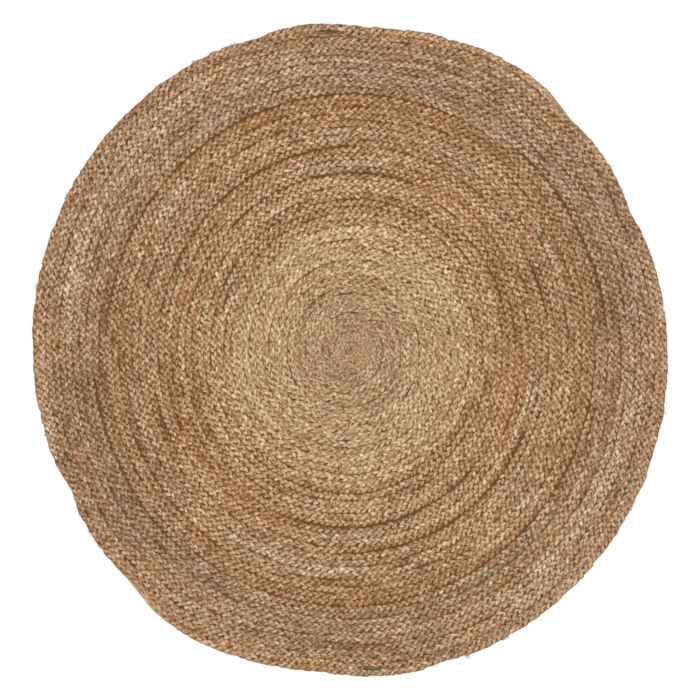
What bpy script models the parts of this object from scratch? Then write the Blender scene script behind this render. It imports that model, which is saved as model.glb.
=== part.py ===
"""A round jute rug, lying flat.

Two three-strand plaits are wound side by side into one flat coil and sewn edge to edge. Seen from
above the coil runs outward clockwise. The two plaits are each other turned by half a turn about +Z,
so every shape here repeats after 180 degrees. Metres, +Z up, origin in the middle of the underside.
"""

import math
from collections import namedtuple

import bmesh
import bpy

# The coil. Rows are counted from the middle, and each half turn adds one.
ROWS = 51
ROW_WIDTH = 0.01225
TIGHT_ROWS = 1.5  # row widths that the tight middle saves
TIGHT_REACH = 4.0  # rows over which the winding loosens
CORE_ROWS = 1  # inside this row the plaits start in one round knot
TAIL_ANGLE = 45.5  # where the plaits end, in degrees from +X and again 180 degrees on
TAIL_LENGTH = 7.5  # degrees over which a last row narrows to nothing

# Heights above the floor.
CREST = 0.0095
SEAM = 0.0065
RIM = 0.0045  # the edge's widest height
CORE = 0.0088
UNDERCUT = 0.0035  # how far the underside's edge lies inside the rim
CREST_SHARE_OF_GROOVE = 0.35  # how far a crest sinks beside a groove

# The rows are a little oval, and the long way turns between the inner rows and the rim.
OVAL = 0.008
OVAL_FULL_ROW = 24
INNER_OVAL_ANGLE = 84
RIM_OVAL_ANGLE = 108
OVAL_TURN_ROWS = (36, 48)

# The mesh: points along a half turn, and the row inside which every second one is enough.
COLUMNS = 32
COARSE_ROWS = 19
LEVELS_PER_ROW = 2
LEVELS = LEVELS_PER_ROW * (ROWS - CORE_ROWS)
TAIL_LEVEL = LEVELS - LEVELS_PER_ROW
COARSE_LEVEL = LEVELS_PER_ROW * (COARSE_ROWS - CORE_ROWS)
CORE_COLUMNS = COLUMNS // 2

# Bulges and hollows of the rim: direction in degrees from +X, reach outward, half width in degrees.
Bulge = namedtuple("Bulge", "angle out spread")
BULGE_ROWS = (38, 50)  # they fade in between these rows
BULGES = (
    Bulge(angle=26, out=-0.007, spread=4),
    Bulge(angle=40, out=0.005, spread=7),
    Bulge(angle=60, out=0.007, spread=9),
    Bulge(angle=85, out=-0.008, spread=7),
    Bulge(angle=107, out=-0.004, spread=4),
)

# Slack seams that lie deeper than the rest. Each follows a row's outer seam between two angles,
# counted clockwise from the tail, where row is the seam's number at the tail.
Groove = namedtuple("Groove", "row start stop depth")
GROOVE_FADE = 10  # degrees
GROOVES = (
    Groove(row=22, start=60, stop=184, depth=0.0015),
    Groove(row=23, start=50, stop=184, depth=0.0015),
    Groove(row=25, start=173, stop=222, depth=0.0015),
    Groove(row=27, start=84, stop=162, depth=0.0022),
    Groove(row=31, start=63, stop=144, depth=0.0022),
    Groove(row=31, start=189, stop=220, depth=0.0015),
    Groove(row=36, start=166, stop=206, depth=0.0012),
    Groove(row=39, start=48, stop=162, depth=0.0022),
    Groove(row=40, start=171, stop=224, depth=0.0022),
)

JUTE_COLOUR = (0.39, 0.23, 0.125, 1.0)
JUTE_ROUGHNESS = 0.9


def clear_scene():
    for thing in list(bpy.data.objects):
        bpy.data.objects.remove(thing, do_unlink=True)


def ramp(value, low, high):
    """0 below low, 1 above high, and a smooth rise between them."""
    share = min(1.0, max(0.0, (value - low) / (high - low)))
    return share * share * (3.0 - 2.0 * share)


def half_turn_apart(angle, other):
    """The difference of two directions in degrees, where a half turn counts as none."""
    return (angle - other + 90.0) % 180.0 - 90.0


def radius(rows, angle):
    """How far from the middle a line with this many rows inside it lies, in this direction."""
    round_radius = ROW_WIDTH * (rows - TIGHT_ROWS * (1.0 - math.exp(-rows / TIGHT_REACH)))
    turned = ramp(rows, *OVAL_TURN_ROWS)
    oval_angle = INNER_OVAL_ANGLE + turned * (RIM_OVAL_ANGLE - INNER_OVAL_ANGLE)
    oval = OVAL * ramp(rows, 0, OVAL_FULL_ROW) * math.cos(math.radians(2.0 * (angle - oval_angle)))
    bulges = sum(
        bulge.out * math.exp(-((half_turn_apart(angle, bulge.angle) / bulge.spread) ** 2))
        for bulge in BULGES
    )
    return round_radius + oval + ramp(rows, *BULGE_ROWS) * bulges


def tail_width(share):
    """What is left of the last row's width at this share of its half turn, from 1 down to 0."""
    return min(1.0, 180.0 * (1.0 - share) / TAIL_LENGTH)


def rows_inside(level, share):
    """How many rows lie inside a level's line. A level is a seam or a crest, counted outward."""
    if level <= LEVELS_PER_ROW:
        return CORE_ROWS + share * level / LEVELS_PER_ROW
    last = max(0, level - TAIL_LEVEL)
    rows = CORE_ROWS - 1 + share + (level - last) / LEVELS_PER_ROW
    return rows + tail_width(share) * last / LEVELS_PER_ROW


def groove_depth(level, share):
    """How much deeper than a plain seam this level's line lies here."""
    deepest = 0.0
    for added in (0, 1):
        row = CORE_ROWS - 1 - added + level / LEVELS_PER_ROW
        angle = 180.0 * (share + added)
        for groove in GROOVES:
            inside = min(angle - groove.start, groove.stop - angle)
            if groove.row == row and inside > 0:
                deepest = max(deepest, groove.depth * ramp(inside, 0, GROOVE_FADE))
    return deepest


def crest_sink(level, share):
    beside = max(groove_depth(level - 1, share), groove_depth(level + 1, share))
    return CREST_SHARE_OF_GROOVE * beside


def height(level, share):
    if level == LEVELS:
        return RIM
    if level % LEVELS_PER_ROW == 0:
        top = SEAM - groove_depth(level, share)
    else:
        top = CREST - crest_sink(level, share)
    if level < LEVELS_PER_ROW:
        return SEAM + (top - SEAM) * min(1.0, 4.0 * share)
    if level >= TAIL_LEVEL:
        return RIM + (top - RIM) * tail_width(share)
    return top


class Skin:
    """The rug's faces, with one vertex for each place."""

    def __init__(self):
        self.bm = bmesh.new()
        self.places = {}

    def point(self, x, y, z):
        place = (round(x, 6), round(y, 6), z > 0)
        if place not in self.places:
            self.places[place] = self.bm.verts.new((x, y, z))
        return self.places[place]

    def on_coil(self, half, level, column):
        share = column / COLUMNS
        angle = TAIL_ANGLE - 180.0 * (half + share)
        reach = radius(rows_inside(level, share), angle)
        x = reach * math.cos(math.radians(angle))
        y = reach * math.sin(math.radians(angle))
        return self.point(x, y, height(level, share))

    def face(self, *corners):
        """A face round these corners, less those that share a place."""
        kept = [c for i, c in enumerate(corners) if c is not corners[i - 1]]
        if len(kept) > 2:
            self.bm.faces.new(kept)

    def strip(self, half, level):
        """The faces between a level's line and the next one out."""
        step = 2 if level < COARSE_LEVEL else 1
        for column in range(0, COLUMNS, step):
            near = self.on_coil(half, level, column)
            near_on = self.on_coil(half, level, column + step)
            far = self.on_coil(half, level + 1, column)
            far_on = self.on_coil(half, level + 1, column + step)
            if level == COARSE_LEVEL - 1:
                middle = self.on_coil(half, level + 1, column + 1)
                self.face(near, middle, far)
                self.face(near, near_on, middle)
                self.face(near_on, far_on, middle)
            else:
                self.face(near, near_on, far_on, far)

    def core(self):
        """The knot in the middle: a ring and a low dome."""
        seam = [self.on_coil(half, 0, 2 * c) for half in (0, 1) for c in range(CORE_COLUMNS)]
        ring = [self.point(0.55 * v.co.x, 0.55 * v.co.y, CREST) for v in seam]
        middle = self.point(0.0, 0.0, CORE)
        for i in range(len(seam)):
            self.face(ring[i - 1], ring[i], seam[i], seam[i - 1])
            self.face(middle, ring[i], ring[i - 1])

    def edge_and_underside(self):
        rim = [self.on_coil(half, LEVELS, c) for half in (0, 1) for c in range(COLUMNS)]
        foot = []
        for vertex in rim:
            inward = 1.0 - UNDERCUT / math.hypot(vertex.co.x, vertex.co.y)
            foot.append(self.point(inward * vertex.co.x, inward * vertex.co.y, 0.0))
        for i in range(len(rim)):
            self.face(rim[i - 1], rim[i], foot[i], foot[i - 1])
        self.bm.faces.new(foot)

    def mesh(self, name):
        bmesh.ops.recalc_face_normals(self.bm, faces=self.bm.faces)
        mesh = bpy.data.meshes.new(name)
        self.bm.to_mesh(mesh)
        self.bm.free()
        mesh.shade_smooth()
        mesh.set_sharp_from_angle(angle=math.radians(50))
        return mesh


def jute():
    material = bpy.data.materials.new("jute")
    material.use_nodes = True
    shader = material.node_tree.nodes["Principled BSDF"]
    shader.inputs["Base Color"].default_value = JUTE_COLOUR
    shader.inputs["Roughness"].default_value = JUTE_ROUGHNESS
    shader.inputs["Metallic"].default_value = 0.0
    return material


def make_rug():
    skin = Skin()
    for half in (0, 1):
        for level in range(LEVELS):
            skin.strip(half, level)
    skin.core()
    skin.edge_and_underside()
    mesh = skin.mesh("rug")
    mesh.materials.append(jute())
    rug = bpy.data.objects.new("rug", mesh)
    bpy.context.scene.collection.objects.link(rug)
    return rug


clear_scene()
make_rug()
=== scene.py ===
"""The looks of the round jute rug.

Two three-strand plaits lie side by side in one flat coil. Each strand is a tube that weaves over
and under the other two. A place on the coil is given by its rows, the number of rows inside it, and
by its share, which is how far round the half turn from the tail it lies, clockwise. Metres, +Z up.
"""

import math
from collections import namedtuple

import bpy
import numpy as np
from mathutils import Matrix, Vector


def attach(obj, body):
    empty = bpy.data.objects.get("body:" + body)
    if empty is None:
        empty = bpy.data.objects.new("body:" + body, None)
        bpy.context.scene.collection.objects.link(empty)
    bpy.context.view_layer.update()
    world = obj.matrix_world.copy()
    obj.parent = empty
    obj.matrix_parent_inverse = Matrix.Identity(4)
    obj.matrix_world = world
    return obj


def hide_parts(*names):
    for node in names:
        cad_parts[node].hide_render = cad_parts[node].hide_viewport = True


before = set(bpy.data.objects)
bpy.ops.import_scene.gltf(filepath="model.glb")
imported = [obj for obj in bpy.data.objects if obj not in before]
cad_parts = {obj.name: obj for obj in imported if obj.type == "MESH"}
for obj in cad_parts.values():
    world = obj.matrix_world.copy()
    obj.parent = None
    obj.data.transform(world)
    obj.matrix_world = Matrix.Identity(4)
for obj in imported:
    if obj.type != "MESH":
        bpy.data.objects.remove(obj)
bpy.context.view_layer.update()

# The coil, as in the solids. Rows are counted from the middle, and each half turn adds one.
ROWS = 51
ROW_WIDTH = 0.01225
TIGHT_ROWS = 1.5  # row widths that the tight middle saves
TIGHT_REACH = 4.0  # rows over which the winding loosens
TAIL_ANGLE = 45.5  # where the plaits end, in degrees from +X and again 180 degrees on
TAIL_LENGTH = 7.5  # degrees over which a last row narrows to nothing
CREST = 0.0095

# The rows are a little oval, and the long way turns between the inner rows and the rim.
OVAL = 0.008
OVAL_FULL_ROW = 24
INNER_OVAL_ANGLE = 84
RIM_OVAL_ANGLE = 108
OVAL_TURN_ROWS = (36, 48)

# Bulges and hollows of the rim: direction in degrees from +X, reach outward, half width in degrees.
Bulge = namedtuple("Bulge", "angle out spread")
BULGE_ROWS = (38, 50)  # they fade in between these rows
BULGES = (
    Bulge(angle=26, out=-0.007, spread=4),
    Bulge(angle=40, out=0.005, spread=7),
    Bulge(angle=60, out=0.007, spread=9),
    Bulge(angle=85, out=-0.008, spread=7),
    Bulge(angle=107, out=-0.004, spread=4),
)

# Slack seams. Each follows a row's outer seam between two angles, counted clockwise from the tail,
# where row is the seam's number at the tail. It lies deeper than a plain seam by its depth, and
# dark is the share of GROOVE_DARK, the painted shade beside a slack seam, that its yarn gets.
Groove = namedtuple("Groove", "row start stop depth dark")
GROOVE_FADE = 10  # degrees
GROOVES = (
    Groove(row=22, start=60, stop=184, depth=0.0015, dark=0.50),
    Groove(row=23, start=50, stop=184, depth=0.0015, dark=0.55),
    Groove(row=25, start=173, stop=222, depth=0.0015, dark=0.55),
    Groove(row=27, start=84, stop=162, depth=0.0022, dark=0.85),
    Groove(row=31, start=63, stop=144, depth=0.0022, dark=0.85),
    Groove(row=31, start=189, stop=220, depth=0.0015, dark=0.60),
    Groove(row=36, start=166, stop=206, depth=0.0012, dark=0.45),
    Groove(row=39, start=48, stop=162, depth=0.0022, dark=0.35),
    Groove(row=40, start=171, stop=224, depth=0.0022, dark=0.70),
)
CREST_SHARE_OF_GROOVE = 0.35  # how far a crest sinks beside a slack seam
GROOVE_SHIFT = 0.06  # how far the deepest pushes a plait aside, as a share of its width
DEEPEST_GROOVE = 0.0022
GROOVE_DARK = 0.53  # painted shade: how much darker the yarn beside a slack seam is
GROOVE_MEAN = 0.6  # the usual share of that, which UNEVEN_SEAM_SHADE raises and lowers
GROOVE_SIDE = 0.4  # how far to the side of its plait a strand gets it in full, in widths
GROOVE_CROWN = 0.65  # how much of it a strand's crown is spared

# The plait. Its strands repeat after three grains, and a grain is one crossing on one side.
START_ROWS = 0.12  # how far out it begins
STRANDS = 3
RINGS = 10  # cross-sections of a strand in one repeat
SIDES = 6
SECTIONS = 3  # pieces that each plait is split into
SLIMMEST = 0.12  # how slim the plait gets at its ends, in rows
Pitch = namedtuple("Pitch", "rows grain")
PITCHES = (
    Pitch(rows=0, grain=0.0055),
    Pitch(rows=4, grain=0.0085),
    Pitch(rows=8, grain=0.0130),
    Pitch(rows=12, grain=0.0140),
    Pitch(rows=17, grain=0.0136),
    Pitch(rows=21, grain=0.0126),
    Pitch(rows=30, grain=0.0127),
    Pitch(rows=38, grain=0.0133),
    Pitch(rows=51, grain=0.0134),
)
STRAND_WIDTH = 0.65  # this and the next four are shares of the row's width
STRAND_THICKNESS = 0.44
SWING = 0.36
SKEW = 0.04  # how much more the strands lean where they lie outward than where they lie inward
LIFT = 0.19
EVEN_LIFT = 0.5  # how much of the lift is left where a band has no contrast
FLAT_TOP = 1.5  # how long a strand stays high in each crossing
STEEP = 0.6  # how quickly a strand crosses the plait
LEAD = math.radians(10.0)  # how much sooner it rises than it crosses
LUMP = -0.32  # how much a strand swells between its crossings
FLOOR_GAP = 0.0003  # the lowest yarn's height
LINE_POINTS = 60000  # points along a plait's middle line

# How uneven the plaits are. Each share comes with the length over which it changes.
Uneven = namedtuple("Uneven", "share length")
UNEVEN_GRAIN = Uneven(share=0.20, length=0.05)
UNEVEN_LINE = Uneven(share=0.10, length=0.04)
UNEVEN_HEIGHT = Uneven(share=0.35, length=0.014)
UNEVEN_SIDE = Uneven(share=0.34, length=0.010)
UNEVEN_SIZE = Uneven(share=0.24, length=0.012)
# How unevenly the painted shade beside slack seams lies along them.
UNEVEN_SEAM_SHADE = Uneven(share=0.6, length=0.018)
RIM_TUCK = 0.12  # how far the last row is drawn in, as a share of its width
RIM_TUCK_ROWS = (ROWS - 1.3, ROWS - 1.0)  # it draws in between these rows

# Colours are linear.
TAN = (0.525, 0.334, 0.191)
CREAM = (0.53, 0.382, 0.235)
PALE = (0.66, 0.48, 0.31)
GOLD = (0.60, 0.40, 0.175)
AMBER = (0.46, 0.265, 0.115)
RUST = (0.47, 0.251, 0.121)
BURNT = (0.27, 0.125, 0.048)
PINK = (0.45, 0.265, 0.155)
BROWN = (0.28, 0.155, 0.075)
GREY = (0.41, 0.286, 0.188)
DUSK = (0.27, 0.185, 0.120)
SOOT = (0.12, 0.066, 0.032)
SLATE = (0.115, 0.082, 0.046)
ASH = (0.22, 0.170, 0.110)
DARK_POWERS = (1.0, 1.5, 2.3)  # red, green and blue: what is dark, mostly painted shade, is also more saturated
PALE_POWERS = (1.0, 1.25, 1.55)  # and what is pale, mostly painted highlight, is less saturated
SHADE_LOW = 0.60  # painted shade deep down and along the sides, painted highlight along the crown: how light the yarn is there
SHADE_SIDE = 0.64
SHADE_CROWN = 1.15
HEIGHT_RAMP = (0.4, 0.85)  # where the painted shade deep down gives way to plain, as shares of the crest's height
CROWN_RAMP = (0.2, 1.0)  # where the painted side shade gives way to the painted crown highlight, as shares of a strand's half thickness
DARKEST = 0.05

# Seeds for what is random. The second plait has the next one.
SEED = 7
STRAY_SEED = 17
HAIR_SEED = 18
TAIL_SEED = 19
BINDING_SEED = 20

# How the dye changes along a strand and along a whole plait.
YARN_LIGHTS = Uneven(0.18, 0.005)  # along each side of a strand on its own
STRAND_LIGHTS = (Uneven(0.13, 0.010), Uneven(0.08, 0.05), Uneven(0.06, 0.30))
PLAIT_LIGHTS = (Uneven(0.05, 0.030), Uneven(0.08, 0.12), Uneven(0.07, 0.50))
HUES = (Uneven(0.35, 0.008), Uneven(0.30, 0.025), Uneven(0.30, 0.10), Uneven(0.20, 0.80))
PLAIT_HUES = (Uneven(0.30, 0.10), Uneven(0.35, 0.50))
HUE_START = 0.10  # where streaks begin, and the share of each colour for each unit beyond
RUST_STREAKS = 0.9
CREAM_STREAKS = 0.8
GREY_STREAKS = 0.7
GREY_ROWS = (37.0, 42.0)  # yarn that isn't rust red is cream inside these rows and grey outside
DARK_GRAINS = Uneven(1.0, 0.006)  # single dark grains show where this is high
DARK_GRAIN_RAMP = (0.50, 0.95)
DARK_GRAIN_SHARE = 0.40

# How light the rug is, and how strong its contrasts are, from the middle to the rim.
Band = namedtuple("Band", "rows light contrast")
BANDS = (
    Band(rows=0, light=0.765, contrast=0.30),
    Band(rows=4, light=0.755, contrast=0.42),
    Band(rows=8, light=0.84, contrast=0.66),
    Band(rows=12, light=0.88, contrast=0.70),
    Band(rows=19, light=0.90, contrast=0.76),
    Band(rows=22, light=0.87, contrast=1.00),
    Band(rows=30, light=0.82, contrast=1.05),
    Band(rows=36, light=0.81, contrast=1.05),
    Band(rows=39, light=0.79, contrast=1.05),
    Band(rows=42, light=0.80, contrast=1.00),
    Band(rows=46, light=0.87, contrast=1.00),
    Band(rows=51, light=0.85, contrast=1.00),
)

# Patches of other colour. A row is counted at the tail and followed clockwise, from start to stop
# in degrees from the tail. Reach is how many rows the patch spreads to each side, and drift is how
# many rows further out it stops than it starts.
Patch = namedtuple("Patch", "row start stop reach colour share drift", defaults=(0.0,))
PATCH_FADE = 8  # degrees
# Thin BURNT patches that run along slack seams, as at rows 27, 31 and 39, paint more shade into
# those seams.
PATCHES = (
    Patch(row=11.0, start=-20, stop=400, reach=10.5, colour=CREAM, share=0.60),
    Patch(row=1.5, start=-20, stop=400, reach=3.2, colour=TAN, share=0.75),
    Patch(row=46.0, start=-20, stop=400, reach=5.5, colour=GREY, share=0.20),
    Patch(row=33.5, start=-12, stop=58, reach=7.5, colour=BROWN, share=0.16),
    Patch(row=40.5, start=56, stop=112, reach=7.0, colour=PALE, share=0.20),
    Patch(row=40.0, start=28, stop=46, reach=1.6, colour=BROWN, share=0.45),
    Patch(row=40.2, start=32, stop=46, reach=0.9, colour=SOOT, share=0.25),
    Patch(row=49.3, start=8, stop=30, reach=1.6, colour=DUSK, share=0.40),
    Patch(row=41.0, start=158, stop=184, reach=1.6, colour=BROWN, share=0.28),
    Patch(row=31.3, start=46, stop=68, reach=1.3, colour=BROWN, share=0.28),
    Patch(row=9.2, start=-2, stop=182, reach=0.6, colour=BROWN, share=0.13),
    Patch(row=50.3, start=108, stop=150, reach=1.2, colour=DUSK, share=0.30),
    Patch(row=3.6, start=120, stop=176, reach=0.5, colour=BROWN, share=0.30),
    Patch(row=5.2, start=105, stop=190, reach=0.5, colour=BROWN, share=0.35),
    Patch(row=7.1, start=-5, stop=45, reach=0.8, colour=PINK, share=0.65),
    Patch(row=8.0, start=175, stop=225, reach=0.8, colour=PINK, share=0.65),
    Patch(row=9.9, start=76, stop=120, reach=0.4, colour=BROWN, share=0.60),
    Patch(row=11.5, start=145, stop=166, reach=0.5, colour=BROWN, share=0.40),
    Patch(row=14.2, start=45, stop=100, reach=0.8, colour=GOLD, share=0.25),
    Patch(row=18.2, start=130, stop=178, reach=0.6, colour=GOLD, share=0.25),
    Patch(row=21.3, start=66, stop=128, reach=0.36, colour=BURNT, share=0.59),
    Patch(row=21.4, start=130, stop=180, reach=0.5, colour=BROWN, share=0.30),
    Patch(row=23.0, start=50, stop=90, reach=0.4, colour=BROWN, share=0.60, drift=0.35),
    Patch(row=23.5, start=90, stop=128, reach=0.4, colour=BROWN, share=0.50),
    Patch(row=23.5, start=148, stop=170, reach=0.4, colour=BROWN, share=0.55),
    Patch(row=25.7, start=155, stop=182, reach=0.6, colour=RUST, share=0.60),
    Patch(row=26.6, start=-2, stop=38, reach=0.36, colour=BURNT, share=0.65),
    Patch(row=26.5, start=30, stop=80, reach=1.0, colour=RUST, share=0.60),
    Patch(row=27.0, start=84, stop=104, reach=0.36, colour=BURNT, share=0.39),
    Patch(row=27.2, start=104, stop=160, reach=0.36, colour=BURNT, share=0.60),
    Patch(row=28.4, start=45, stop=85, reach=0.9, colour=RUST, share=0.75),
    Patch(row=28.5, start=106, stop=152, reach=0.8, colour=CREAM, share=0.65),
    Patch(row=28.6, start=150, stop=184, reach=1.8, colour=RUST, share=0.60),
    Patch(row=29.8, start=-2, stop=45, reach=1.5, colour=RUST, share=0.55),
    Patch(row=30.2, start=14, stop=45, reach=1.2, colour=BROWN, share=0.25),
    Patch(row=29.5, start=44, stop=88, reach=0.4, colour=PALE, share=0.90, drift=0.3),
    Patch(row=30.1, start=88, stop=180, reach=0.8, colour=RUST, share=0.40),
    Patch(row=31.4, start=-2, stop=13, reach=0.4, colour=CREAM, share=0.60),
    Patch(row=30.4, start=62, stop=90, reach=0.36, colour=BURNT, share=0.85, drift=0.35),
    Patch(row=31.1, start=90, stop=134, reach=0.36, colour=BURNT, share=0.60),
    Patch(row=31.3, start=134, stop=180, reach=0.36, colour=BURNT, share=0.33),
    Patch(row=32.3, start=16, stop=38, reach=0.35, colour=BURNT, share=0.78),
    Patch(row=33.3, start=124, stop=176, reach=0.9, colour=CREAM, share=0.65),
    Patch(row=33.6, start=60, stop=95, reach=1.2, colour=GREY, share=0.40),
    Patch(row=34.6, start=55, stop=110, reach=0.8, colour=RUST, share=0.35),
    Patch(row=35.4, start=96, stop=122, reach=0.36, colour=BURNT, share=0.59),
    Patch(row=36.0, start=104, stop=180, reach=0.9, colour=RUST, share=0.50),
    Patch(row=36.9, start=76, stop=103, reach=0.9, colour=PALE, share=0.45),
    Patch(row=36.5, start=10, stop=42, reach=0.36, colour=BURNT, share=0.65),
    Patch(row=37.2, start=-2, stop=12, reach=0.36, colour=BURNT, share=0.59),
    Patch(row=37.2, start=103, stop=180, reach=0.35, colour=BURNT, share=0.65),
    Patch(row=38.3, start=84, stop=182, reach=1.1, colour=RUST, share=0.75),
    Patch(row=38.6, start=-2, stop=90, reach=1.6, colour=RUST, share=0.40),
    Patch(row=38.9, start=86, stop=132, reach=0.36, colour=BURNT, share=0.22),
    Patch(row=39.1, start=132, stop=182, reach=0.36, colour=BURNT, share=0.12, drift=0.5),
    Patch(row=39.9, start=50, stop=86, reach=0.36, colour=BURNT, share=0.35, drift=-0.6),
    Patch(row=41.2, start=84, stop=182, reach=1.5, colour=GREY, share=0.40),
    Patch(row=44.6, start=-20, stop=46, reach=3.4, colour=DUSK, share=0.40),
    Patch(row=41.4, start=-2, stop=42, reach=0.36, colour=BURNT, share=0.85, drift=-0.8),
    Patch(row=43.8, start=112, stop=182, reach=1.6, colour=GREY, share=0.35),
    Patch(row=45.5, start=46, stop=112, reach=2.2, colour=GREY, share=0.45),
    Patch(row=45.5, start=50, stop=108, reach=2.0, colour=PALE, share=0.38),
    Patch(row=43.2, start=48, stop=82, reach=0.3, colour=PALE, share=0.45),
    Patch(row=42.5, start=22, stop=44, reach=0.4, colour=BROWN, share=0.50),
    Patch(row=42.5, start=50, stop=88, reach=0.4, colour=BROWN, share=0.50),
    Patch(row=42.9, start=89, stop=112, reach=0.6, colour=BROWN, share=0.50),
    Patch(row=42.6, start=112, stop=135, reach=0.5, colour=GOLD, share=0.35),
    Patch(row=46.5, start=100, stop=114, reach=0.5, colour=GOLD, share=0.35),
    Patch(row=46.8, start=112, stop=174, reach=1.0, colour=DUSK, share=0.30),
    Patch(row=45.3, start=122, stop=162, reach=0.5, colour=BROWN, share=0.55),
    Patch(row=44.6, start=158, stop=172, reach=0.3, colour=BROWN, share=0.60),
    Patch(row=43.7, start=130, stop=172, reach=0.3, colour=BROWN, share=0.45),
    Patch(row=47.6, start=46, stop=95, reach=0.6, colour=RUST, share=0.35, drift=0.2),
    Patch(row=47.8, start=90, stop=134, reach=0.6, colour=RUST, share=0.50, drift=0.2),
    Patch(row=48.1, start=120, stop=138, reach=0.5, colour=RUST, share=0.65),
    Patch(row=48.7, start=50, stop=126, reach=0.5, colour=GREY, share=0.75),
    Patch(row=49.6, start=40, stop=80, reach=0.5, colour=RUST, share=0.60),
    Patch(row=49.4, start=132, stop=182, reach=0.8, colour=AMBER, share=0.40),
)

# Small dark spots, about two centimetres long.
Spot = namedtuple("Spot", "row share")
SPOT_LENGTH = 0.010
SPOT_REACH = 0.45  # rows
SPOT_STRENGTH = 0.85
SPOTS = (
    Spot(row=46.95, share=0.41),
    Spot(row=42.9, share=0.005),
    Spot(row=41.9, share=0.995),
    Spot(row=35.5, share=0.08),
    Spot(row=35.0, share=0.65),
    Spot(row=33.4, share=0.67),
)

# Loose ends that stand out from the rim. Each shows twice, half a turn apart.
Tuft = namedtuple("Tuft", "angle length fibres")
TUFTS = (
    Tuft(angle=168.6, length=0.010, fibres=10),
    Tuft(angle=151.2, length=0.009, fibres=9),
    Tuft(angle=118.4, length=0.008, fibres=8),
    Tuft(angle=111.0, length=0.010, fibres=9),
    Tuft(angle=150.6, length=0.006, fibres=6),
    Tuft(angle=118.2, length=0.006, fibres=6),
    Tuft(angle=35.2, length=0.007, fibres=7),
    Tuft(angle=15.8, length=0.006, fibres=6),
    Tuft(angle=332.0, length=0.006, fibres=6),
    Tuft(angle=348.3, length=0.005, fibres=5),
    Tuft(angle=291.2, length=0.006, fibres=6),
    Tuft(angle=298.5, length=0.005, fibres=5),
    Tuft(angle=215.0, length=0.006, fibres=6),
)
TUFT_SPREAD = 0.18  # degrees
TUFT_LENGTHS = (0.6, 1.0)  # shares of the tuft's length
TUFT_RADII = (0.00015, 0.00035)

# Short hairs all round the rim. Pairs are the least and the most, here and below.
RIM_HAIRS = 700
HAIR_LENGTHS = (0.002, 0.0045)
HAIR_RADII = (0.00008, 0.00018)
HAIR_TAPER = (1.0, 1.0, 0.8, 0.4)
HAIR_ROOT = 0.25  # rows inside the rim
HAIR_HEADING = 65.0  # degrees to either side of straight outward
HAIR_CURL = 0.4
HAIR_HEIGHTS = (0.0035, 0.0075)
HAIR_SINK = 0.4  # the share of its height that a hair loses towards its end
HAIR_SIDES = 3
HAIR_POINTS = 4
HAIR_COLOURS = (PALE, GOLD, TAN)
FIBRE_LIGHTS = (0.7, 1.15)

# Single fibres that lie on top.
STRAYS = 2600
STRAY_LENGTHS = (0.006, 0.022)
STRAY_RADII = (0.00009, 0.00018)
STRAY_TAPER = (0.4, 1.0, 1.0, 0.4)
STRAY_HEADING = 40.0  # degrees by which they usually differ from the rows
STRAY_BEND = 0.35
STRAY_INSET = 1.0  # rows inside the rim
STRAY_TOP = 0.0098
STRAY_DIP = 0.0022  # how much lower its ends are than its middle
STRAY_HEIGHTS = (-0.0008, 0.0006)

# The loose ends of the tails, laid along the rim from start to stop in degrees from +X.
TAIL_FIBRES = 44
TAIL_START = (49.0, 58.0)
TAIL_STOP = (40.5, 48.5)
TAIL_LANES = (0.0, 0.9)  # rows inside the rim
TAIL_WAVER = 0.2  # rows
TAIL_HEIGHTS = (0.003, 0.0085)
TAIL_SINK = 0.25
TAIL_RADII = (0.0004, 0.0009)
TAIL_TAPER = (0.06, 0.5)  # end and power
TAIL_SIDES = 5
TAIL_POINTS = 10
TAIL_COLOURS = (TAN, TAN, PALE, RUST)

# Dark yarns side by side, which bind a join in the last row. Each lane has its own start and stop,
# as shares of the way, and lies its own rows outward.
BINDING = (0.7085, 0.7485)  # where they lie, as shares of the last row's half turn
BINDING_ROWS = 48.72
BINDING_RADIUS = 0.0009
BINDING_UNEVEN = 0.25  # a share of the radius
BINDING_TAPER = (0.04, 0.4)  # end and power
BINDING_SIDES = 6
BINDING_POINTS = 24
BINDING_WAVES = 700.0  # radians for each half turn
BINDING_WAVER = 0.05  # rows
BINDING_TOP = 0.0098
BINDING_RIPPLE = 0.0005
BINDING_DIP = 0.002  # how much lower both ends are
Lane = namedtuple("Lane", "rows start stop colour")
BINDING_LANES = (
    Lane(rows=-0.22, start=0.25, stop=1.00, colour=SLATE),
    Lane(rows=-0.07, start=0.00, stop=0.80, colour=ASH),
    Lane(rows=0.05, start=0.12, stop=0.95, colour=SLATE),
    Lane(rows=0.20, start=0.30, stop=0.75, colour=SLATE),
)

# The dense inner fibres between the plaits: a thin sheet, dark all over as painted shade where it
# shows between the strands.
GROUND_INSET = 0.35  # rows
GROUND_POINTS = 360
GROUND_RINGS = 12
GROUND_TOP = 0.0058
GROUND_THICKNESS = 0.0012
GROUND_SHADE_COLOUR = (0.13, 0.060, 0.024)
GROUND_GRAIN = 0.0012

# The pattern of the yarn's fibres.
FIBRE_LENGTH = 0.012
FIBRE_WIDTH = 0.0006
FIBRES_ROUND = 5.4
YARN_TWIST = 0.006  # how far along for each radian of twist
STRAND_OFFSET = 50.0  # how far along it each strand or thin tube is from the last
TUBE_OFFSET = 3.0

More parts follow.
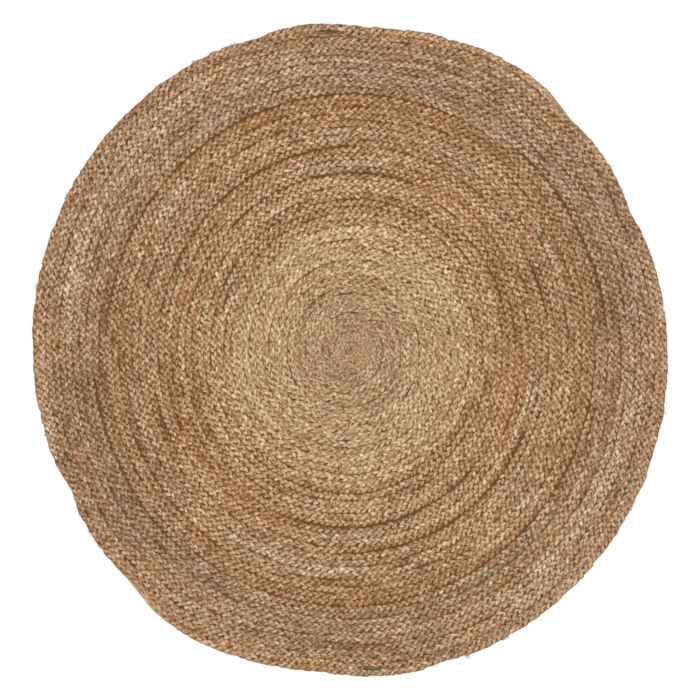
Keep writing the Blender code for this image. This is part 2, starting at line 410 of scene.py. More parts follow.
# The jute's surface, its fine fibres and their bundles, and what they do to it.
JUTE_SURFACE = {
    "Specular IOR Level": 0.08,
    "Sheen Weight": 0.06,
    "Sheen Roughness": 0.5,
    "Sheen Tint": (0.90, 0.60, 0.35, 1.0),
}
FINE_FIBRES = {"Scale": 1.0, "Detail": 4.0, "Roughness": 0.65}
BUNDLES = {"Scale": 1.0, "Detail": 1.0}
BUNDLE_SIZE = {"Scale": (1.3, 0.22, 0.22)}
FINE_SHARE = 0.5
BUNDLE_SHARE = 0.5
Shade = namedtuple("Shade", "place colour")
FIBRE_SHADES = (
    Shade(place=0.39, colour=(0.46, 0.32, 0.21)),
    Shade(place=0.50, colour=(0.97, 0.96, 0.94)),
    Shade(place=0.61, colour=(1.31, 1.41, 1.54)),
)
FIBRE_ROUGHNESS = {"From Min": 0.3, "From Max": 0.7, "To Min": 0.95, "To Max": 0.68}
FIBRE_RELIEF = {"Strength": 0.7, "Distance": 0.0008}

# How the tubes' surface is laid out for a bake.
STRIP_SHAPE = 5.0  # how much longer round a tube is than one of its segments
STRIP_MARGIN = 0.06
CAP_RADIUS = 0.4

FLOOR_SPAN = 1.3024  # what the camera sees of the floor
FLOOR_SIZE = 12.0
FLOOR_SURFACE = {"Base Color": (0.95, 0.95, 0.95, 1.0), "Roughness": 0.9}
LENS = 100.0
SENSOR = 36.0
VIEW_REACH = 20.0
LIGHT_POWER = 46.0
LIGHT_SIZE = 1.6
LIGHT_HEIGHT = 2.6
WORLD_LIGHT = 0.75
WORLD_COLOUR = (1.0, 1.0, 1.0, 1.0)


def ramp(value, low, high):
    """0 below low, 1 above high, and a smooth rise between them."""
    share = np.clip((value - low) / (high - low), 0.0, 1.0)
    return share * share * (3.0 - 2.0 * share)


def half_turn_apart(angle, other):
    """The difference of two directions in degrees, where a half turn counts as none."""
    return (angle - other + 90.0) % 180.0 - 90.0


def within(stretch, angle, fade):
    """1 between a stretch's start and stop, 0 outside, and a smooth change at both ends."""
    return ramp(np.minimum(angle - stretch.start, stretch.stop - angle), 0, fade)


def read_table(table, rows, column):
    """A column of a table that goes by rows, read at these rows."""
    return np.interp(rows, [line.rows for line in table], [getattr(line, column) for line in table])


def wander(rng, distance, uneven):
    """A smooth random line, with a new value each length, read at these distances."""
    place = distance / uneven.length
    knots = rng.uniform(-uneven.share, uneven.share, int(place[-1]) + 2)
    low = place.astype(int)
    share = ramp(place - low, 0, 1)
    return knots[low] * (1.0 - share) + knots[low + 1] * share


def wanders(rng, distance, unevens):
    return sum(wander(rng, distance, uneven) for uneven in unevens)


def vectors(*parts):
    return np.stack(np.broadcast_arrays(*parts), axis=-1)


def unit(v):
    return v / np.linalg.norm(v, axis=-1, keepdims=True)


def on_floor_plan(reach, angle, height):
    """Points this far from the middle, in these directions and at these heights."""
    return vectors(reach * np.cos(np.radians(angle)), reach * np.sin(np.radians(angle)), height)


def round_angles(sides):
    """The angles of a tube's corners, in radians."""
    return 2.0 * np.pi * np.arange(sides) / sides


def radius(rows, angle):
    """How far from the middle a line with this many rows inside it lies, in this direction."""
    round_radius = ROW_WIDTH * (rows - TIGHT_ROWS * (1.0 - np.exp(-rows / TIGHT_REACH)))
    turned = ramp(rows, *OVAL_TURN_ROWS)
    oval_angle = INNER_OVAL_ANGLE + turned * (RIM_OVAL_ANGLE - INNER_OVAL_ANGLE)
    oval = OVAL * ramp(rows, 0, OVAL_FULL_ROW) * np.cos(np.radians(2.0 * (angle - oval_angle)))
    bulges = sum(
        bulge.out * np.exp(-((half_turn_apart(angle, bulge.angle) / bulge.spread) ** 2))
        for bulge in BULGES
    )
    return round_radius + oval + ramp(rows, *BULGE_ROWS) * bulges


def tail_width(share):
    """What is left of the last row's width at this share of its half turn, from 1 down to 0."""
    return np.minimum(1.0, 180.0 * (1.0 - share) / TAIL_LENGTH)


def rim(angle, inset=0.0):
    """How far from the middle the rim lies in this direction, less an inset in rows."""
    share = ((TAIL_ANGLE - angle) % 180.0) / 180.0
    return radius(ROWS - 2 + share + tail_width(share) - inset, angle)


def groove_value(row, share, column):
    """How deep, or how dark, the row's outer seam is at this share. A plain seam has 0."""
    value = np.zeros_like(share)
    for back in (0, 1):
        angle = 180.0 * (share + back)
        for groove in GROOVES:
            here = getattr(groove, column) * within(groove, angle, GROOVE_FADE)
            value = np.maximum(value, here * (row - back == groove.row))
    return value


def patch_share(row, share, patch):
    """How strongly a patch colours this place."""
    most = np.zeros_like(row)
    for back in (0, 1):
        angle = 180.0 * (share + back)
        middle = patch.row + patch.drift * (angle - patch.start) / (patch.stop - patch.start)
        away = (row - back - middle) / patch.reach
        most = np.maximum(most, within(patch, angle, PATCH_FADE) * np.exp(-(away ** 4)))
    return patch.share * most


def spot_share(row, share, spot):
    """How strongly a spot colours this place."""
    along = (share - spot.share) * np.pi * ROW_WIDTH * spot.row / SPOT_LENGTH
    away = (row - spot.row) / SPOT_REACH
    return SPOT_STRENGTH * np.exp(-(along ** 2) - away ** 2)


def blend(colours, colour, share):
    return colours + (np.array(colour) - colours) * share[:, None]


def plait_place(rows, half):
    """The direction, middle line and width of the plait whose outer seam has these rows."""
    angle = TAIL_ANGLE - 180.0 * (rows - ROWS + half)
    inner = np.maximum(rows - 1.0, 0.0)
    width = np.where(rows > ROWS - 1, tail_width(rows - ROWS + 1), rows - inner)
    near = radius(inner, angle)
    far = radius(inner + np.maximum(width, SLIMMEST), angle)
    return angle, (near + far) / 2.0, far - near


class Plait:
    """The middle line of one plait, and what changes along it."""

    def __init__(self, half, rng):
        self.half = half
        self.rows = np.linspace(START_ROWS, ROWS, LINE_POINTS)
        angle, middle, _ = plait_place(self.rows, half)
        line = on_floor_plan(middle, angle, 0.0)
        run = np.linalg.norm(np.gradient(line, axis=0), axis=-1)
        self.distance = np.cumsum(run)
        grain = read_table(PITCHES, self.rows, "grain")
        grain *= 1.0 + wander(rng, self.distance, UNEVEN_GRAIN)
        self.repeats = np.cumsum(run / (STRANDS * grain))
        self.drift = wander(rng, self.distance, UNEVEN_LINE)
        self.light = wanders(rng, self.distance, PLAIT_LIGHTS)
        self.hue = wanders(rng, self.distance, PLAIT_HUES)

    def steps(self, strand):
        """The repeats before each ring of a strand. Each strand follows the last by a grain."""
        shift = strand / STRANDS + 0.5 / RINGS
        return np.arange(int(RINGS * (self.repeats[-1] - shift))) / RINGS + shift


# Rings of corners, with the colour of each corner and its place in the pattern of fibres.
Tube = namedtuple("Tube", "rings tint fibre")


class Strand:
    """One strand of a plait: a tube of rings, and what its colours need to know of each ring."""

    def __init__(self, plait, strand, rng):
        steps = plait.steps(strand)
        self.rng = rng
        self.rows = np.interp(steps, plait.repeats, plait.rows)
        self.distance = np.interp(steps, plait.repeats, plait.distance)
        self.light = np.interp(steps, plait.repeats, plait.light)
        self.hue = np.interp(steps, plait.repeats, plait.hue)
        self.share = self.rows - np.floor(self.rows)
        self.contrast = read_table(BANDS, self.rows, "contrast")
        self.turn = 2.0 * np.pi * (steps - strand / STRANDS)
        self.angle, middle, self.width = plait_place(self.rows, plait.half)
        self.size = np.minimum(1.0, self.width / ROW_WIDTH)
        self.crest = CREST * np.where(self.rows > ROWS - 1, self.size, 1.0)
        self.swell = 1.0 + wander(rng, self.distance, UNEVEN_SIZE)
        self.half_thick = ROW_WIDTH * self.size * STRAND_THICKNESS / 2.0 * self.swell
        self.side = self.sideways() + np.interp(steps, plait.repeats, plait.drift)
        # How much painted seam shade each ring gets.
        self.slack = self.seam_shade()
        outer, inner = self.seams("depth")
        self.side += GROOVE_SHIFT * (inner - outer) / DEEPEST_GROOVE
        self.side -= RIM_TUCK * ramp(self.rows, *RIM_TUCK_ROWS)
        high = self.height(np.maximum(outer, inner))
        self.centre = on_floor_plan(middle + self.width * self.side, self.angle, high)
        rings = self.rings()
        self.tube = Tube(rings, self.tint(rings), self.fibre(strand))

    def seams(self, column):
        """What the plait's outer and inner seam have in this column of the slack seams."""
        row = np.floor(self.rows)
        return groove_value(row, self.share, column), groove_value(row - 1, self.share, column)

    def sideways(self):
        """How far outward of the plait's middle each ring lies, in widths of the plait."""
        cross = np.tanh(STEEP * np.sin(self.turn)) / np.tanh(STEEP)
        side = SWING * cross - SKEW * np.cos(2.0 * self.turn)
        return side * (1.0 + wander(self.rng, self.distance, UNEVEN_SIDE))

    def seam_shade(self):
        """How much each ring gets of the painted shade of the slack seams beside it."""
        outer, inner = self.seams("dark")
        near_outer = ramp(self.side, 0.0, GROOVE_SIDE)
        near_inner = ramp(-self.side, 0.0, GROOVE_SIDE)
        return outer * near_outer + inner * near_inner

    def height(self, groove):
        """The height of each ring's middle, which rises and sinks with each crossing."""
        lift = np.tanh(FLAT_TOP * np.sin(2.0 * self.turn + LEAD)) / np.tanh(FLAT_TOP)
        lift += wander(self.rng, self.distance, UNEVEN_HEIGHT)
        lift = lift * (EVEN_LIFT + (1.0 - EVEN_LIFT) * self.contrast)
        middle = self.crest + self.size * (ROW_WIDTH * LIFT * lift - CREST / 2.0)
        return middle - CREST_SHARE_OF_GROOVE * groove

    def rings(self):
        """The corners of each ring. Its face turns from up to down and back as it swings."""
        along = unit(np.gradient(self.centre, axis=0))
        lean = np.radians(90.0 - 90.0 * np.cos(self.turn))
        out = on_floor_plan(np.sin(lean), self.angle, np.cos(lean))
        face = unit(out - along * np.sum(out * along, axis=-1, keepdims=True))
        across = np.cross(along, face)
        lump = self.swell + LUMP * np.cos(4.0 * self.turn)
        half_width = self.width * STRAND_WIDTH / 2.0 * lump
        corner = round_angles(SIDES)
        rings = (
            self.centre[:, None]
            + across[:, None] * (half_width[:, None] * np.sin(corner))[..., None]
            + face[:, None] * (self.half_thick[:, None] * np.cos(corner))[..., None]
        )
        rings[..., 2] = np.clip(rings[..., 2], FLOOR_GAP, None)
        return rings

    def fibre(self, strand):
        """Each corner's place in the pattern of fibres, which twists round the strand."""
        along = self.distance[:, None] / FIBRE_LENGTH + STRAND_OFFSET * strand
        twist = round_angles(SIDES) + self.distance[:, None] / YARN_TWIST
        return vectors(along, np.cos(twist) * FIBRES_ROUND, np.sin(twist) * FIBRES_ROUND)

    def tint(self, rings):
        """The yarn's colour at each corner: its dye, made darker and paler by the painted shade and
        highlight and by its own uneven tone.
        """
        shade = self.shade(rings)
        dye = self.dye() * read_table(BANDS, self.rows, "light")[:, None]
        # What is darker, mostly painted shade, turns more saturated, and what is paler, mostly
        # painted highlight, less so.
        dark = np.minimum(shade, 1.0)[..., None] ** np.array(DARK_POWERS)
        pale = np.maximum(shade, 1.0)[..., None] ** np.array(PALE_POWERS)
        return dye[:, None] * dark * pale

    def shade(self, rings):
        """How light the yarn is at each corner: painted shade in its crevices and beside slack
        seams, a painted highlight along its crown, and its own uneven tone.
        """
        depth = (self.crest[:, None] - rings[..., 2]) / (CREST * self.size[:, None])
        rise = np.abs(rings[..., 2] - self.centre[:, None, 2]) / self.half_thick[:, None]
        crown = ramp(rise, *CROWN_RAMP)
        # Painted shade deep down and along the sides, and a painted highlight along the crown.
        shade = SHADE_LOW + (1.0 - SHADE_LOW) * ramp(1.0 - depth, *HEIGHT_RAMP)
        shade *= SHADE_SIDE + (SHADE_CROWN - SHADE_SIDE) * crown
        # The yarn's own uneven tone, along the plait, the strand and each of its sides.
        light = 1.0 + self.light + wanders(self.rng, self.distance, STRAND_LIGHTS)
        yarns = vectors(*(wander(self.rng, self.distance, YARN_LIGHTS) for _ in range(SIDES)))
        shade = shade * light[:, None] * (1.0 + yarns)
        # Painted shade beside the slack seams, which spares the crown.
        painted_seam_shade = self.slack * (GROOVE_MEAN + wander(self.rng, self.distance, UNEVEN_SEAM_SHADE))
        shade *= 1.0 - GROOVE_DARK * painted_seam_shade[:, None] * (1.0 - GROOVE_CROWN * crown)
        return np.clip(1.0 + self.contrast[:, None] * (shade - 1.0), DARKEST, None)

    def dye(self):
        """The yarn's own colour at each ring: patches, and streaks that differ by strand."""
        row = self.rows - 0.5 + self.side - self.share
        colours = np.tile(np.array(TAN), (len(row), 1))
        for patch in PATCHES:
            colours = blend(colours, patch.colour, patch_share(row, self.share, patch))
        for spot in SPOTS:
            colours = blend(colours, SOOT, spot_share(row, self.share, spot))
        hue = self.contrast * (self.hue + wanders(self.rng, self.distance, HUES))
        warm = np.clip(hue - HUE_START, 0, 1)
        cool = np.clip(-hue - HUE_START, 0, 1)
        grey = ramp(self.rows, *GREY_ROWS)
        colours = blend(colours, RUST, warm * RUST_STREAKS)
        colours = blend(colours, CREAM, cool * CREAM_STREAKS * (1.0 - grey))
        colours = blend(colours, GREY, cool * GREY_STREAKS * grey)
        dark = ramp(wander(self.rng, self.distance, DARK_GRAINS), *DARK_GRAIN_RAMP)
        return blend(colours, BURNT, DARK_GRAIN_SHARE * self.contrast * dark)


def thin_tubes(paths, radii, sides, tints):
    """Tubes along many paths at once, each with its own radius at each point and its own colour."""
    along = unit(np.gradient(paths, axis=1))
    across = unit(np.cross(along, (0.0, 0.0, 1.0)))
    face = np.cross(across, along)
    corner = round_angles(sides)
    spokes = (
        across[:, :, None] * np.sin(corner)[:, None] + face[:, :, None] * np.cos(corner)[:, None]
    )
    rings = paths[:, :, None] + radii[:, :, None, None] * spokes
    steps = np.diff(paths, axis=1, prepend=paths[:, :1])
    run = np.cumsum(np.linalg.norm(steps, axis=-1), axis=1)
    tubes = []
    for i, tint in enumerate(tints):
        fibre = vectors(
            run[i][:, None] / FIBRE_LENGTH + TUBE_OFFSET * i,
            np.cos(corner) * radii[i][:, None] / FIBRE_WIDTH,
            np.sin(corner) * radii[i][:, None] / FIBRE_WIDTH,
        )
        tubes.append(Tube(rings[i], np.broadcast_to(tint, rings[i].shape), fibre))
    return tubes


def tube_faces(rings, sides, first):
    """The quads round a tube of rings, whose points start at number first."""
    ring = np.arange(rings - 1)[:, None] * sides
    side = np.arange(sides)[None, :]
    following = (side + 1) % sides
    quads = vectors(ring + side, ring + sides + side, ring + sides + following, ring + following)
    return first + quads.reshape(-1, 4)


def bake_places(segments, caps, sides):
    """Where each quad and end cap lies on the bake's image: strips of tube, one above another."""
    per_strip = int(math.sqrt(segments * STRIP_SHAPE)) + 1
    strips = segments // per_strip + 1
    high = strips + caps // per_strip + 1
    cell = np.arange(segments).repeat(sides)[:, None]
    side = np.tile(np.arange(sides), segments)[:, None]
    across = cell % per_strip + np.array((0, 1, 1, 0))
    up = (side + np.array((0, 0, 1, 1))) / sides
    up = cell // per_strip + STRIP_MARGIN + (1.0 - 2.0 * STRIP_MARGIN) * up
    quads = vectors(across / per_strip, up / high)
    cell = np.arange(caps)[:, None]
    corner = round_angles(sides)
    across = cell % per_strip + 0.5 + CAP_RADIUS * np.cos(corner)
    up = strips + cell // per_strip + 0.5 + CAP_RADIUS * np.sin(corner)
    return quads, vectors(across / per_strip, up / high)


def short_diagonals(points, quads, places):
    """The same quads, each starting at a corner from which its diagonal is the shorter one."""
    corners = points[quads]
    first = np.linalg.norm(corners[:, 0] - corners[:, 2], axis=1)
    second = np.linalg.norm(corners[:, 1] - corners[:, 3], axis=1)
    turned = (first > second)[:, None]
    quads = np.where(turned, np.roll(quads, 1, axis=1), quads)
    return quads, np.where(turned[..., None], np.roll(places, 1, axis=1), places)


def tube_piece(name, tubes, material, ends=(True, True)):
    """One piece of many tubes, closed at their ends unless another piece goes on there."""
    sides = tubes[0].rings.shape[1]
    counts = [len(tube.rings) for tube in tubes]
    firsts = np.concatenate([[0], np.cumsum(counts)[:-1]]) * sides
    quads = np.concatenate([tube_faces(n, sides, first) for n, first in zip(counts, firsts)])
    ring = np.arange(sides)
    near = [first + ring for first in firsts if ends[0]]
    far = [first + sides * n - 1 - ring for n, first in zip(counts, firsts) if ends[1]]
    caps = np.array(near + far, dtype=int).reshape(-1, sides)
    points, tint, fibre = (
        np.concatenate([values.reshape(-1, 3) for values in column]) for column in zip(*tubes)
    )
    quad_places, cap_places = bake_places(len(quads) // sides, len(caps), sides)
    quads, quad_places = short_diagonals(points, quads, quad_places)
    places = np.concatenate([quad_places.reshape(-1, 2), cap_places.reshape(-1, 2)])
    return make_piece(name, points, (quads, caps), places, tint, fibre, material)


def add_object(name, data):
    thing = bpy.data.objects.new(name, data)
    bpy.context.scene.collection.objects.link(thing)
    return thing


def fill(items, field, values):
    items.foreach_set(field, values.astype(np.float32).ravel())


def make_piece(name, points, faces, places, tint, fibre, material):
    """A mesh, with the colours and the fibre pattern that its material reads."""
    corners = np.concatenate([f.ravel() for f in faces])
    sizes = np.concatenate([np.full(len(f), f.shape[1]) for f in faces])
    mesh = bpy.data.meshes.new(name)
    mesh.vertices.add(len(points))
    fill(mesh.vertices, "co", points)
    mesh.loops.add(len(corners))
    mesh.loops.foreach_set("vertex_index", corners.astype(np.int32))
    mesh.polygons.add(len(sizes))
    mesh.polygons.foreach_set("loop_start", (np.cumsum(sizes) - sizes).astype(np.int32))
    mesh.polygons.foreach_set("use_smooth", np.ones(len(sizes), dtype=bool))
    mesh.update(calc_edges=True)
    solid_tint = np.concatenate([tint, np.ones_like(tint[:, :1])], axis=1)
    fill(mesh.color_attributes.new("tint", "FLOAT_COLOR", "POINT").data, "color", solid_tint)
    fill(mesh.attributes.new("fibre", "FLOAT_VECTOR", "POINT").data, "vector", fibre)
    if places is not None:
        fill(mesh.uv_layers.new(name="OFBake").uv, "vector", places)
    mesh.materials.append(material)
    return add_object(name, mesh)


def new_material(name, surface):
    """A material, and its shader with these values."""
    material = bpy.data.materials.new(name)
    material.use_nodes = True
    shader = material.node_tree.nodes["Principled BSDF"]
    for socket, value in surface.items():
        shader.inputs[socket].default_value = value
    return material, shader


def new_node(tree, kind, values=None, **settings):
    """A node of this kind with these settings, and with these values on its inputs."""
    node = tree.nodes.new(kind)
    for name, setting in settings.items():
        setattr(node, name, setting)
    for socket, value in (values or {}).items():
        node.inputs[socket].default_value = value
    return node


def fibre_nodes(tree):
    """The fine fibres alone, and together with their bundles."""
    link = tree.links.new
    fibre = new_node(tree, "ShaderNodeAttribute", attribute_name="fibre")
    fine = new_node(tree, "ShaderNodeTexNoise", FINE_FIBRES)
    bundle_size = new_node(tree, "ShaderNodeMapping", BUNDLE_SIZE)
    bundles = new_node(tree, "ShaderNodeTexNoise", BUNDLES)
    bundle_part = new_node(tree, "ShaderNodeMath", {1: BUNDLE_SHARE}, operation="MULTIPLY")
    both = new_node(tree, "ShaderNodeMath", {1: FINE_SHARE}, operation="MULTIPLY_ADD")
    link(fibre.outputs["Vector"], fine.inputs["Vector"])
    link(fibre.outputs["Vector"], bundle_size.inputs["Vector"])
    link(bundle_size.outputs["Vector"], bundles.inputs["Vector"])
    link(bundles.outputs["Fac"], bundle_part.inputs[0])
    link(fine.outputs["Fac"], both.inputs[0])
    link(bundle_part.outputs["Value"], both.inputs[2])
    return fine.outputs["Fac"], both.outputs["Value"]


def shade_node(tree):
    """What the fibres do to the yarn's colour, from the dark ones to the pale."""
    shade = new_node(tree, "ShaderNodeValToRGB")
    elements = shade.color_ramp.elements
    for i, (place, colour) in enumerate(FIBRE_SHADES):
        element = elements[i] if i < len(elements) else elements.new(place)
        element.position = place
        element.color = (*colour, 1.0)
    return shade


def jute():
    """Matt yarn: its dye with the painted shade and highlight that its tint carries, darker and
    paler fibres along it, and their relief.
    """
    material, shader = new_material("jute", JUTE_SURFACE)
    tree = material.node_tree
    link = tree.links.new
    fine, both = fibre_nodes(tree)
    tint = new_node(tree, "ShaderNodeAttribute", attribute_name="tint")
    shade = shade_node(tree)
    dyed = new_node(
        tree, "ShaderNodeMix", {"Factor": 1.0}, data_type="RGBA", blend_type="MULTIPLY"
    )
    rough = new_node(tree, "ShaderNodeMapRange", FIBRE_ROUGHNESS)
    relief = new_node(tree, "ShaderNodeBump", FIBRE_RELIEF)
    link(both, shade.inputs["Fac"])
    link(tint.outputs["Color"], dyed.inputs["A"])
    link(shade.outputs["Color"], dyed.inputs["B"])
    link(dyed.outputs["Result"], shader.inputs["Base Color"])
    link(fine, rough.inputs["Value"])
    link(rough.outputs["Result"], shader.inputs["Roughness"])
    link(both, relief.inputs["Height"])
    link(relief.outputs["Normal"], shader.inputs["Normal"])
    return material


def make_plaits(material):
    """Both plaits, each cut into pieces of about the same length."""
    pieces = []
    for half in (0, 1):
        rng = np.random.default_rng(SEED + half)
        plait = Plait(half, rng)
        strands = [Strand(plait, strand, rng).tube for strand in range(STRANDS)]
        rings = min(len(strand.rings) for strand in strands)
        cuts = np.linspace(0, rings - 1, SECTIONS + 1).astype(int)
        for section in range(SECTIONS):
            last = section == SECTIONS - 1
            part = slice(cuts[section], None if last else cuts[section + 1] + 1)
            tubes = [Tube(*(values[part] for values in strand)) for strand in strands]
            name = f"plait_{'ab'[half]}_{section + 1}"
            pieces.append(tube_piece(name, tubes, material, ends=(section == 0, last)))
    return pieces


def ground_faces(under):
    """The ground's quads and its middle triangles. Its underside's points start at number under."""
    here = np.arange(GROUND_POINTS)
    after = np.roll(here, -1)
    level = np.arange(GROUND_RINGS - 1)[:, None] * GROUND_POINTS
    out = level + GROUND_POINTS
    upper = vectors(level + here, out + here, out + after, level + after).reshape(-1, 4)
    lower = (upper + under)[:, ::-1]
    edge = (GROUND_RINGS - 1) * GROUND_POINTS
    side = vectors(edge + here, under + edge + here, under + edge + after, edge + after)
    hub = vectors(2 * under, here, after)
    hub_under = vectors(2 * under + 1, under + after, under + here)
    return np.concatenate([upper, lower, side]), np.concatenate([hub, hub_under])


def make_ground(material):
    """The ground, its flat size and its area."""
    angle = np.arange(GROUND_POINTS) * 360.0 / GROUND_POINTS
    reach = rim(angle, GROUND_INSET)
    share = np.arange(1, GROUND_RINGS + 1)[:, None] / GROUND_RINGS
    top = on_floor_plan(share * reach, angle, GROUND_TOP).reshape(-1, 3)
    under = top - (0.0, 0.0, GROUND_THICKNESS)
    middle = np.array(((0.0, 0.0, GROUND_TOP), (0.0, 0.0, GROUND_TOP - GROUND_THICKNESS)))
    points = np.concatenate([top, under, middle])
    # Painted shade: one dark colour all over, for the ground seen between the strands.
    tint = np.tile(np.array(GROUND_SHADE_COLOUR), (len(points), 1))
    faces = ground_faces(len(top))
    piece = make_piece("ground", points, faces, None, tint, points / GROUND_GRAIN, material)
    x, y = on_floor_plan(reach, angle, 0.0)[:, :2].T
    area = 0.5 * abs(np.sum(x * np.roll(y, -1) - y * np.roll(x, -1)))
    return piece, (np.ptp(x), np.ptp(y)), area


def spread(rng, low, high, count):
    return rng.uniform(low, high, count)[:, None]


def pick_tints(rng, colours, count):
    """One colour for each fibre, somewhat lighter or darker than one of these."""
    chosen = np.array(colours)[rng.integers(0, len(colours), count)]
    return chosen * spread(rng, *FIBRE_LIGHTS, count)


def taper(step, end, power):
    """How thick a fibre is from one tip to the other, as a share of its middle."""
    return np.sin(np.pi * (end + (1.0 - 2.0 * end) * step)) ** power


def lead_away(path, scale, along, aside, heading):
    """Moves a path's points along a heading and to its left, both in this scale."""
    path[..., 0] += scale * (along * np.cos(heading) - aside * np.sin(heading))
    path[..., 1] += scale * (along * np.sin(heading) + aside * np.cos(heading))


def make_strays(material):
    """Single fibres that lie loose on top, most of them roughly along the rows."""
    rng = np.random.default_rng(STRAY_SEED)
    angle = spread(rng, 0.0, 360.0, STRAYS)
    reach = np.sqrt(spread(rng, 0.0, 1.0, STRAYS)) * rim(angle, STRAY_INSET)
    length = spread(rng, *STRAY_LENGTHS, STRAYS)
    heading = np.radians(angle + 90.0 + STRAY_HEADING * rng.standard_normal((STRAYS, 1)))
    bend = spread(rng, -STRAY_BEND, STRAY_BEND, STRAYS)
    step = np.linspace(-0.5, 0.5, HAIR_POINTS)
    path = on_floor_plan(reach, angle, 0.0 * step)
    lead_away(path, length, step, bend * step ** 2, heading)
    high = STRAY_TOP - 2.0 * STRAY_DIP * np.abs(step)
    path[..., 2] = high + spread(rng, *STRAY_HEIGHTS, STRAYS)
    radii = spread(rng, *STRAY_RADII, STRAYS) * np.array(STRAY_TAPER)
    tints = pick_tints(rng, HAIR_COLOURS, STRAYS)
    return tube_piece("stray_fibres", thin_tubes(path, radii, HAIR_SIDES, tints), material)


def rim_places(rng):
    """The direction, length and radius of each hair: those all round, and then the tufts'."""
    groups = [(
        rng.uniform(0.0, 360.0, RIM_HAIRS),
        rng.uniform(*HAIR_LENGTHS, RIM_HAIRS),
        rng.uniform(*HAIR_RADII, RIM_HAIRS),
    )]
    for tuft in TUFTS:
        for turned in (0.0, 180.0):
            groups.append((
                tuft.angle + turned + rng.normal(0.0, TUFT_SPREAD, tuft.fibres),
                tuft.length * rng.uniform(*TUFT_LENGTHS, tuft.fibres),
                rng.uniform(*TUFT_RADII, tuft.fibres),
            ))
    return (np.concatenate(values)[:, None] for values in zip(*groups))


def make_rim_hairs(material):
    """Short fibres all round the rim, and the longer tufts that stand out from it."""
    rng = np.random.default_rng(HAIR_SEED)
    angle, length, thick = rim_places(rng)
    count = len(angle)
    heading = np.radians(angle + spread(rng, -HAIR_HEADING, HAIR_HEADING, count))
    step = np.linspace(0.0, 1.0, HAIR_POINTS)
    path = on_floor_plan(rim(angle, HAIR_ROOT), angle, 0.0 * step)
    reach = (length + HAIR_ROOT * ROW_WIDTH) * step
    curl = spread(rng, -HAIR_CURL, HAIR_CURL, count) * reach * step
    lead_away(path, 1.0, reach, curl, heading)
    path[..., 2] = spread(rng, *HAIR_HEIGHTS, count) * (1.0 - HAIR_SINK * step)
    tints = pick_tints(rng, HAIR_COLOURS, count)
    tubes = thin_tubes(path, thick * np.array(HAIR_TAPER), HAIR_SIDES, tints)
    return tube_piece("rim_hairs", tubes, material)


def make_tail_fibres(material):
    """The loose ends of the plaits' tails, laid along the rim."""
    rng = np.random.default_rng(TAIL_SEED)
    step = np.linspace(0.0, 1.0, TAIL_POINTS)
    tubes = []
    for turned in (0.0, 180.0):
        start = spread(rng, *TAIL_START, TAIL_FIBRES)
        stop = spread(rng, *TAIL_STOP, TAIL_FIBRES)
        angle = start + (stop - start) * step + turned
        lane = spread(rng, *TAIL_LANES, TAIL_FIBRES)
        waver = spread(rng, -TAIL_WAVER, TAIL_WAVER, TAIL_FIBRES)
        inset = lane + waver * np.sin(2.0 * np.pi * step)
        high = spread(rng, *TAIL_HEIGHTS, TAIL_FIBRES) * (1.0 - TAIL_SINK * step)
        path = on_floor_plan(rim(angle, np.clip(inset, 0.0, None)), angle, high)
        radii = spread(rng, *TAIL_RADII, TAIL_FIBRES) * taper(step, *TAIL_TAPER)
        tints = pick_tints(rng, TAIL_COLOURS, TAIL_FIBRES)
        tubes += thin_tubes(path, radii, TAIL_SIDES, tints)
    return tube_piece("tail_fibres", tubes, material)


def binding_path(lane, half, step, phase):
    """One binding yarn's way, which wavers and ripples a little and dips at both ends."""
    along = lane.start + (lane.stop - lane.start) * step
    share = BINDING[0] + (BINDING[1] - BINDING[0]) * along
    angle = TAIL_ANGLE - 180.0 * (share + half)
    wave = share * BINDING_WAVES + phase
    waver = BINDING_WAVER * np.sin(wave)
    reach = radius(BINDING_ROWS + share + lane.rows + waver, angle)
    high = BINDING_TOP + BINDING_RIPPLE * np.sin(2.0 * wave)
    return on_floor_plan(reach, angle, high - BINDING_DIP * (2.0 * step - 1.0) ** 6)


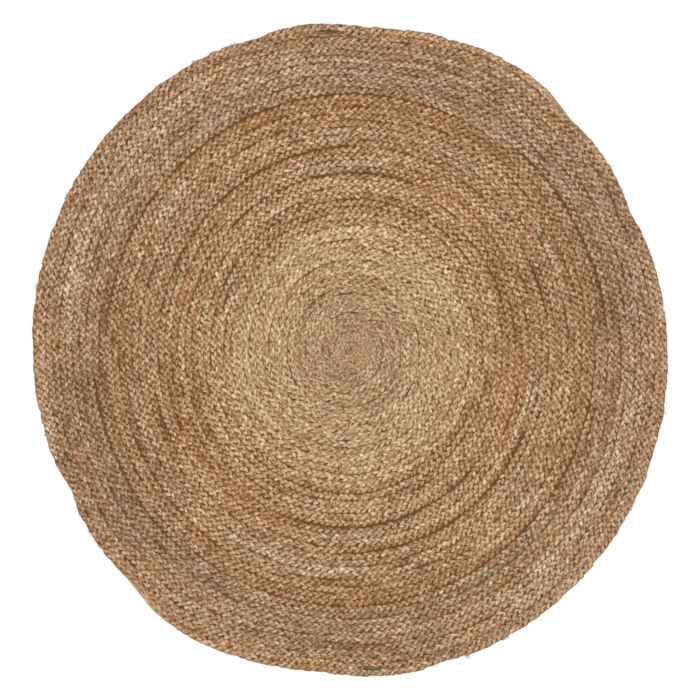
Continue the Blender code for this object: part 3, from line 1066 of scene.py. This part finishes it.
def make_binding(material):
    """Short dark yarns side by side, which bind a join in the last row."""
    rng = np.random.default_rng(BINDING_SEED)
    step = np.linspace(0.0, 1.0, BINDING_POINTS)
    lanes = [(lane, half) for half in (0, 1) for lane in BINDING_LANES]
    paths = np.array([binding_path(*place, step, rng.uniform(0.0, 6.0)) for place in lanes])
    radii = 1.0 + rng.uniform(-BINDING_UNEVEN, BINDING_UNEVEN, paths.shape[:2])
    radii = BINDING_RADIUS * radii * taper(step, *BINDING_TAPER)
    tubes = thin_tubes(paths, radii, BINDING_SIDES, [lane.colour for lane, _ in lanes])
    return tube_piece("binding_yarns", tubes, material)


def make_stage():
    """A pale floor that goes on past the picture."""
    mesh = bpy.data.meshes.new("floor")
    w = FLOOR_SIZE / 2.0
    mesh.from_pydata([(-w, -w, 0), (w, -w, 0), (w, w, 0), (-w, w, 0)], [], [(0, 1, 2, 3)])
    mesh.materials.append(new_material("floor", FLOOR_SURFACE)[0])
    add_object("floor", mesh)


def add_light(name, place, size, power):
    """A square soft light that faces the middle of the rug."""
    light = bpy.data.lights.new(name, "AREA")
    light.size = size
    light.energy = power
    lamp = add_object(name, light)
    lamp.location = place
    lamp.rotation_mode = "QUATERNION"
    lamp.rotation_quaternion = Vector(place).to_track_quat("Z", "Y")


def make_camera():
    """Straight overhead, with the whole rug and a little floor round it in view."""
    data = bpy.data.cameras.new("camera")
    data.lens = LENS
    data.sensor_width = SENSOR
    data.clip_end = VIEW_REACH
    camera = add_object("camera", data)
    camera.location = (0, 0, FLOOR_SPAN * LENS / SENSOR + CREST / 2)
    bpy.context.scene.camera = camera


def make_world(strength):
    world = bpy.data.worlds.new("studio")
    world.use_nodes = True
    background = world.node_tree.nodes["Background"]
    background.inputs["Color"].default_value = WORLD_COLOUR
    background.inputs["Strength"].default_value = strength
    bpy.context.scene.world = world


material = jute()
plaits = make_plaits(material)
ground, ground_size, ground_area = make_ground(material)
loose = [make(material) for make in (make_strays, make_rim_hairs, make_tail_fibres, make_binding)]
for piece in plaits + loose + [ground]:
    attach(piece, "root")
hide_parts("rug")
make_stage()
add_light("key", (0.0, 0.0, LIGHT_HEIGHT), LIGHT_SIZE, LIGHT_POWER)
make_camera()
make_world(WORLD_LIGHT)
bpy.context.scene.view_settings.view_transform = "Standard"
